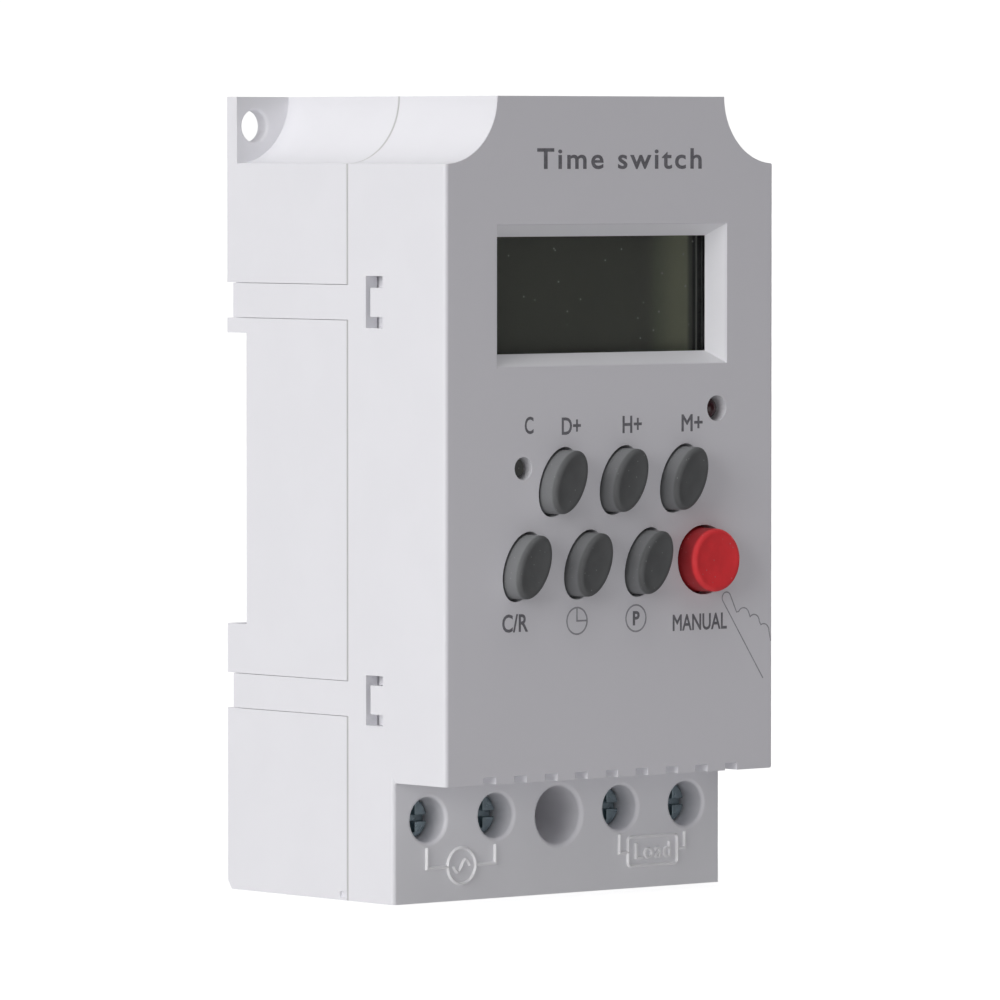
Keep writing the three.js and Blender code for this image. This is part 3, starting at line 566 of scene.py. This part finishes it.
def soften(name, group, width):
    """Joins the node's facets, dissolves them to flat faces and rounds every sharp edge."""
    piece = NODES[name]
    join = piece.modifiers.new("join", "NODES")
    join.node_group = group
    if not width:
        return
    flat = piece.modifiers.new("flat", "DECIMATE")
    flat.decimate_type = "DISSOLVE"
    flat.angle_limit = math.radians(1)
    if name == "front_housing":
        corner = piece.modifiers.new("corner", "BEVEL")
        corner.width = mm(0.55)
        corner.segments = 4
        corner.limit_method = "WEIGHT"
    edge = piece.modifiers.new("edge", "BEVEL")
    edge.width = width
    edge.segments = 2
    edge.limit_method = "ANGLE"
    edge.angle_limit = math.radians(40)
    edge.use_clamp_overlap = True
    edge.harden_normals = False
    edge.miter_outer = "MITER_ARC"
    normals = piece.modifiers.new("normals", "WEIGHTED_NORMAL")
    normals.keep_sharp = False
    normals.weight = 80


# ---------------------------------------------------------------- new meshes


def add_mesh(name, vertices, faces, material, body="root"):
    mesh = bpy.data.meshes.new(name)
    mesh.from_pydata([tuple(v) for v in vertices], [], faces)
    shaped = bmesh.new()
    shaped.from_mesh(mesh)
    bmesh.ops.recalc_face_normals(shaped, faces=shaped.faces)
    shaped.to_mesh(mesh)
    shaped.free()
    mesh.materials.append(material)
    piece = bpy.data.objects.new(name, mesh)
    bpy.context.scene.collection.objects.link(piece)
    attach(piece, body)
    return piece


def smooth(piece, degrees=35):
    piece.data.shade_smooth()
    piece.data.set_sharp_from_angle(angle=math.radians(degrees))


def loft(rings):
    """One closed skin over rings with equal numbers of points, with flat ends."""
    count = len(rings[0])
    vertices = [point for ring in rings for point in ring]
    faces = []
    for r in range(len(rings) - 1):
        for i in range(count):
            j = (i + 1) % count
            faces.append((r * count + i, r * count + j, (r + 1) * count + j, (r + 1) * count + i))
    faces.append(tuple(range(count)))
    faces.append(tuple(range((len(rings) - 1) * count, len(rings) * count)))
    return vertices, faces


KEY_LEAN = math.radians(25)
OVAL_CAP = (mm(2.48), mm(4.18))
ROUND_CAP = (mm(3.98), mm(3.98))


def key_cap(node, half, material):
    """A silicone cap with a soft rounded rim, a slightly hollow face, a flange and a stem, as rings of
    (depth, inset from the cap's outline) from the face to the back."""
    low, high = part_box(node)
    middle = (low + high) / 2
    face, rim, draft, steps = low.y, mm(0.55), mm(0.1), 7
    front, rear, flange, stem = PANEL + mm(2.6), PANEL + mm(3.8), mm(-0.7), mm(1.2)
    soft, fillet = mm(0.08), mm(0.1)
    profile = [(face + mm(0.12), mm(1.9)), (face + mm(0.1), mm(1.35)), (face + mm(0.03), mm(0.85))]
    for i in range(steps + 1):
        turn = 0.5 * math.pi * i / steps
        profile.append((face + rim * (1 - math.cos(turn)), draft + rim * (1 - math.sin(turn))))
    profile += [(front - mm(0.25), 0), (front - mm(0.07), mm(-0.07)), (front, mm(-0.25)),
                (front, flange + soft), (front + soft, flange),
                (rear - soft, flange), (rear, flange + soft),
                (rear, stem - fillet), (rear + fillet, stem),
                (high.y - fillet, stem), (high.y, stem + fillet)]
    count = 64
    rings = []
    for y, inset in profile:
        ring = []
        for i in range(count):
            turn = 2 * math.pi * i / count
            x, z = (half[0] - inset) * math.cos(turn), (half[1] - inset) * math.sin(turn)
            ring.append((middle.x + x * math.cos(KEY_LEAN) + z * math.sin(KEY_LEAN), y,
                         middle.z - x * math.sin(KEY_LEAN) + z * math.cos(KEY_LEAN)))
        rings.append(ring)
    piece = add_mesh(f"{node}_cap", *loft(rings), material, f"{node}_body")
    smooth(piece, 50)
    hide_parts(node)
    return piece


def clip_spring(material):
    """The clip's coil spring, wound from round wire."""
    low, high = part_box("din_clip_spring")
    middle = (low + high) / 2
    wire = mm(0.2)
    coil = (high.x - low.x) / 2 - wire
    turns, steps, sides = 6, 28, 12
    height = high.z - low.z - 2 * wire
    rings = []
    for i in range(turns * steps + 1):
        share = i / (turns * steps)
        angle = share * turns * 2 * math.pi
        out = Vector((math.cos(angle), math.sin(angle), 0))
        climb = height / (turns * 2 * math.pi * coil)
        along = Vector((-math.sin(angle), math.cos(angle), climb)).normalized()
        over = out.cross(along)
        heart = Vector((middle.x, middle.y, low.z + wire + share * height)) + out * coil
        turn = [2 * math.pi * k / sides for k in range(sides)]
        rings.append([heart + (out * math.cos(t) + over * math.sin(t)) * wire for t in turn])
    piece = add_mesh("clip_spring_coil", *loft(rings), material)
    smooth(piece, 50)
    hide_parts("din_clip_spring")
    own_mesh(piece)
    return piece


# ---------------------------------------------------------------- legends and symbols

INK_PROUD = mm(0.02)
SUNK = mm(0.03)  # how far a sign's back lies inside the housing


def ribbon(name, points, width, face, proud, material, closed=False, taper=0.0):
    """A line of even width along points (x, z), standing proud of a face; taper slopes its sides."""
    path = [Vector(p) for p in points]
    count = len(path)
    left, right = [], []
    for i, here in enumerate(path):
        before = path[(i - 1) % count] if closed or i else here
        after = path[(i + 1) % count] if closed or i < count - 1 else here
        along_in = (here - before).normalized() if before != here else (after - here).normalized()
        along_out = (after - here).normalized() if after != here else along_in
        along = (along_in + along_out).normalized()
        reach = width / 2 / max(0.35, along.dot(along_in))
        side = Vector((-along.y, along.x)) * reach
        left.append(here + side)
        right.append(here - side)
    front, back = face - proud, face + SUNK
    vertices = []
    for a, b in zip(left, right):
        across = (b - a).normalized() * taper
        vertices += [(a.x + across.x, front, a.y + across.y), (b.x - across.x, front, b.y - across.y),
                     (b.x, back, b.y), (a.x, back, a.y)]
    faces = []
    spans = count if closed else count - 1
    for i in range(spans):
        here, there = 4 * i, 4 * ((i + 1) % count)
        for k in range(4):
            n = (k + 1) % 4
            faces.append((here + k, here + n, there + n, there + k))
    if not closed:
        faces += [(0, 1, 2, 3), tuple(4 * (count - 1) + k for k in range(4))]
    return add_mesh(name, vertices, faces, material)


def arc_points(x, z, radius, start=0.0, end=360.0, count=48):
    step = (end - start) / (count if abs(end - start) >= 360 else count - 1)
    return [(x + radius * math.cos(math.radians(start + i * step)),
             z + radius * math.sin(math.radians(start + i * step))) for i in range(count)]


def lettering(name, words, x, z, length, cap_height, material, weight=0.016, spacing=1.0, face=None,
              proud=INK_PROUD):
    """Words of a given length and height centred on (x, z): flat print on the panel, or raised letters
    with sloping sides on another face."""
    raised = face is not None
    face = face if raised else PANEL
    curve = bpy.data.curves.new(name, "FONT")
    curve.body = words
    curve.size = 1
    curve.extrude = 0.5
    curve.bevel_depth = weight
    curve.bevel_resolution = 0
    curve.space_character = spacing
    curve.resolution_u = 4
    maker = bpy.data.objects.new(name + "_maker", curve)
    bpy.context.scene.collection.objects.link(maker)
    bpy.context.view_layer.update()
    shape = bpy.data.meshes.new_from_object(maker.evaluated_get(bpy.context.evaluated_depsgraph_get()))
    bpy.data.objects.remove(maker)
    xs = [v.co.x for v in shape.vertices]
    ys = [v.co.y for v in shape.vertices]
    wide = length / (max(xs) - min(xs))
    high = cap_height / (max(ys) - min(ys))
    middle_x, middle_y = (min(xs) + max(xs)) / 2, (min(ys) + max(ys)) / 2
    vertices = []
    for v in shape.vertices:
        top = v.co.z > (0.5 + weight / 2 if raised else 0)
        depth = face - proud if top else face + SUNK
        vertices.append((x + (v.co.x - middle_x) * wide, depth, z + (v.co.y - middle_y) * high))
    faces = [tuple(p.vertices) for p in shape.polygons]
    bpy.data.meshes.remove(shape)
    piece = add_mesh(name, vertices, faces, material)
    joined = bmesh.new()
    joined.from_mesh(piece.data)
    bmesh.ops.remove_doubles(joined, verts=joined.verts, dist=mm(0.0005))
    bmesh.ops.recalc_face_normals(joined, faces=joined.faces)
    joined.to_mesh(piece.data)
    joined.free()
    return piece


def key_legends(ink, faint):
    day, hour, minute = (centre(f"{k}_button") for k in ("day", "hour", "minute"))
    cancel, clock, program = (centre(f"{k}_button") for k in ("cancel_recall", "clock", "program"))
    manual = centre("manual_button")
    above, below = mm(6.75), mm(6.8)
    small = mm(2.1)
    lettering("legend_title", "Time switch", mm(1.28), mm(90.4), mm(26.6), mm(2.55), ink, 0.016, 1.2)
    lettering("legend_reset", "C", centre("reset_button").x + mm(0.9), mm(58.16), mm(1.4), small, ink)
    lettering("legend_day", "D+", day.x + mm(2.03), day.z + above, mm(3.06), small, ink)
    lettering("legend_hour", "H+", hour.x + mm(2.07), hour.z + above, mm(3.12), small, ink)
    lettering("legend_minute", "M+", minute.x + mm(2.07), minute.z + above, mm(3.45), small, ink)
    lettering("legend_cancel", "C/R", cancel.x - mm(1.2), cancel.z - below, mm(4.1), mm(2.2), ink)
    line = mm(0.2)
    z = mm(34.2)
    for name, x in (("legend_clock", clock.x - mm(1.1)), ("legend_program", program.x - mm(1.35))):
        ribbon(f"{name}_ring", arc_points(x, z, mm(1.62)), line, PANEL, INK_PROUD, faint, closed=True)
    x = clock.x - mm(1.1)
    hand = mm(1.55)
    ribbon("legend_clock_hands", [(x, z + hand), (x, z), (x + hand, z)], line, PANEL, INK_PROUD, faint)
    lettering("legend_program_letter", "P", program.x - mm(1.3), z, mm(1.1), mm(1.75), ink, 0.03)
    lettering("legend_manual", "MANUAL", manual.x - mm(0.67), mm(33.4), mm(8.9), mm(2.05), ink)


def pointing_hand(faint):
    """A line drawing of a hand whose fingertip reaches the red key."""
    line = mm(0.14)
    tip_x, tip_z = mm(18.75), mm(36.2)
    tip = arc_points(tip_x, tip_z, mm(0.72), 205, 35, 11)
    wrist = (mm(24.8), mm(26.06))
    knuckles = [(mm(20.4), mm(34.4)),
                *arc_points(mm(21.55), mm(33.95), mm(0.95), 150, 15, 7),
                *arc_points(mm(23.3), mm(33.1), mm(0.9), 135, 0, 7),
                *arc_points(mm(24.9), mm(31.9), mm(0.9), 120, 0, 7),
                (mm(26.1), mm(30.6))]
    ribbon("hand_outline", [wrist, *tip, *knuckles], line, PANEL, INK_PROUD, faint)


def wiring_symbols(plastic):
    """Moulded lines on the terminal face: a supply across the left pair and a load across the right."""
    width, proud, soft = mm(0.46), mm(0.28), mm(0.17)

    def raised(name, points, closed=False):
        path = [(mm(px), mm(pz)) for px, pz in points]
        ribbon(name, path, width, TERMINAL_FACE, proud, plastic, closed, soft)

    x, z, radius = -15.7, 4.25, 2.2
    raised("mark_supply_left", [(-21.2, 6.66), (-21.2, 4.2), (x - radius, 4.2)])
    raised("mark_supply_right", [(x + radius, 4.3), (-10.34, 4.3), (-10.34, 6.6)])
    raised("mark_supply_ring", arc_points(x, z, radius), closed=True)
    wave = [t / 10 for t in range(-10, 11)]
    raised("mark_supply_wave", [(x + 1.3 * t, z + 0.75 * math.sin(math.pi * t)) for t in wave])
    left, right, low, high = 11.25, 19.34, 2.76, 6.34
    corner = 0.4
    box = []
    for cx, cz, start in ((right - corner, low + corner, 270), (right - corner, high - corner, 0),
                          (left + corner, high - corner, 90), (left + corner, low + corner, 180)):
        box += arc_points(cx, cz, corner, start, start + 90, 4)
    raised("mark_load_box", box, closed=True)
    raised("mark_load_left", [(9.84, 6.76), (9.84, 4.5), (left, 4.5)])
    raised("mark_load_right", [(right, 4.6), (20.57, 4.6), (20.57, 6.62)])
    middle_x, middle_z = mm((left + right) / 2), mm((low + high) / 2)
    lettering("mark_load_word", "Load", middle_x, middle_z, mm(5.9), mm(2.1), plastic, 0.028, 1.08,
              TERMINAL_FACE, proud)


# ---------------------------------------------------------------- scene

make_camera()
make_world()
make_lights()
make_floor()
bpy.context.scene.view_settings.view_transform = "Standard"

materials = make_materials()
node_materials = {"reset_button": rubber("dark_silicone", (0.075, 0.077, 0.07), (0.2, 0.2, 0.2))}
for part in frame["record"]["subparts"]:
    if part["node"] in NODES:
        mesh = NODES[part["node"]].data
        mesh.materials.clear()
        mesh.materials.append(node_materials.get(part["node"], materials[part["material_slot"]]))

join_and_smooth = smoothing_nodes()
EDGES = {"front_housing": mm(0.22), "rear_housing": mm(0.18), "din_clip": mm(0.15), "lcd_frame": mm(0.12),
         "lcd_window": 0, "lcd_panel": mm(0.06)}
for name in NODES:
    default = 0 if name in ("din_clip_spring", "led_lamp", "reset_button") else mm(0.08)
    soften(name, join_and_smooth, EDGES.get(name, default))

for key in OVAL_KEYS:
    key_cap(f"{key}_button", OVAL_CAP, materials["grey_silicone"])
key_cap("manual_button", ROUND_CAP, materials["red_silicone"])

clip_spring(materials["spring_steel"])

ink = printed_ink("grey_print", (0.185, 0.18, 0.2))
faint_ink = printed_ink("pale_grey_print", (0.36, 0.352, 0.385))
key_legends(ink, faint_ink)
pointing_hand(faint_ink)
# painted highlight: the raised marks get a lighter white than the housing and stronger lightened edges
wiring_symbols(moulded("raised_marks_painted_highlight", (0.96, 0.955, 0.97), 0.38, wear_and_painted_highlight=0.3))
